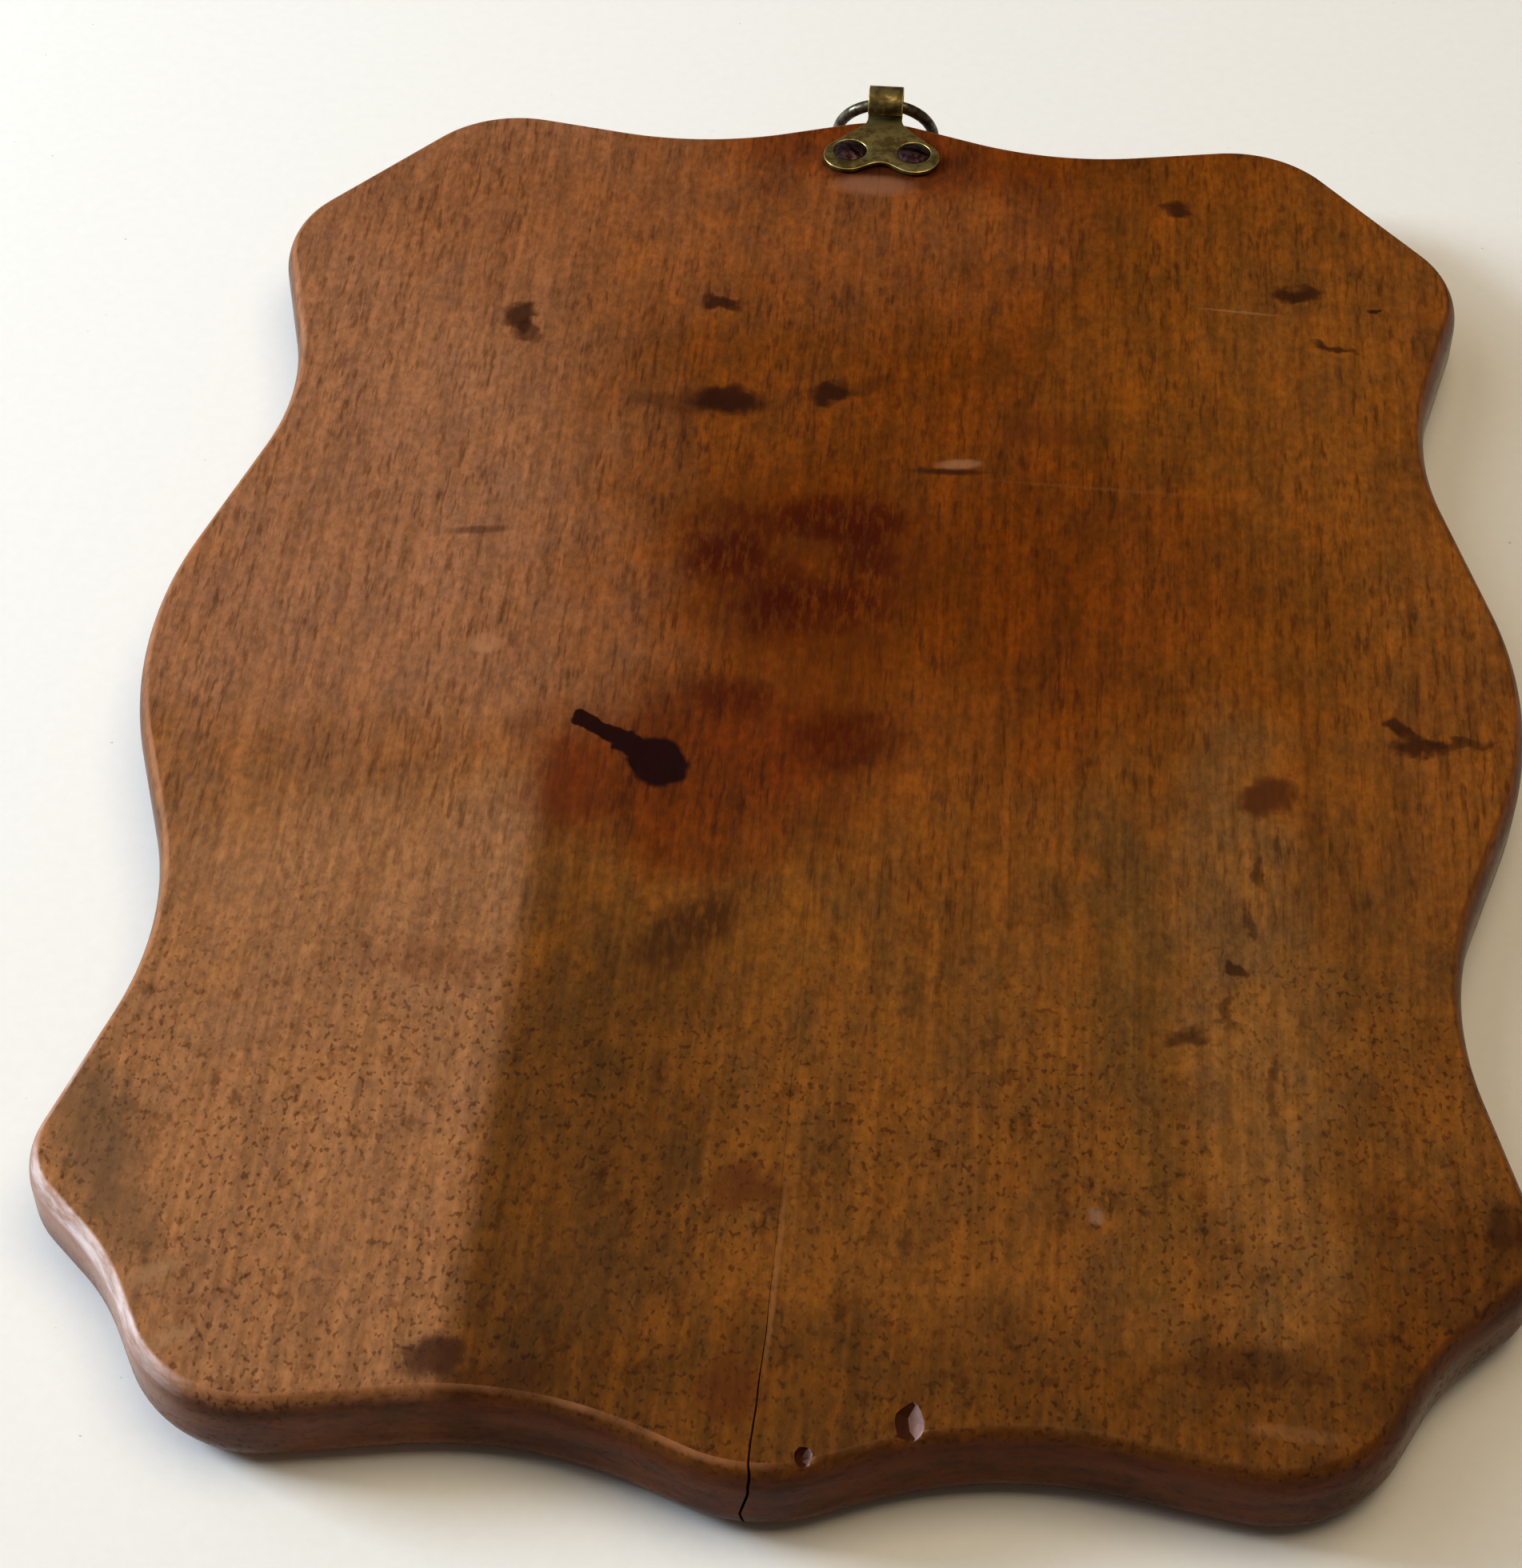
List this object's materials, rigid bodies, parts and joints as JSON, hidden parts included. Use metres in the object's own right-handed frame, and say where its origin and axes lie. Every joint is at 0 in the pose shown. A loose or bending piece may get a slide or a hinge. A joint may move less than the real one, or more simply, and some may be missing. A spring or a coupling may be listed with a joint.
{
  "type": "wooden wall plaque",
  "caption": "Scalloped wooden wall plaque, lying face down, with a brass ring hanger screwed to its back at the top edge.",
  "frame": {"origin": "centre of the plaque's front face, which lies on the surface under it", "axes": "+Z out of the back face, +Y towards the top edge with the hanger, +X to the right as the back is seen"},
  "size_m": [0.2, 0.2701, 0.0196],
  "materials": {
    "wood": "old reddish-brown stained mahogany with a dull satin varnish",
    "brass": "aged brass sheet, olive-gold with worn bright edges",
    "ring_brass": "aged drawn brass wire, greyish olive",
    "screw": "coppered steel gone purple-brown"
  },
  "bodies": {
    "plaque": {"board_left": "wood", "board_right": "wood", "hanger_plate": "brass", "screw_left": "screw", "screw_right": "screw"},
    "ring": {"hanger_ring": "ring_brass"}
  },
  "joints": [
    {"name": "ring_swing", "type": "hinge", "parent": "plaque", "child": "ring", "pos_m": [0.0006, 0.1324, 0.0169], "axis": [1, 0, 0], "range_deg": [-5, 250]}
  ]
}
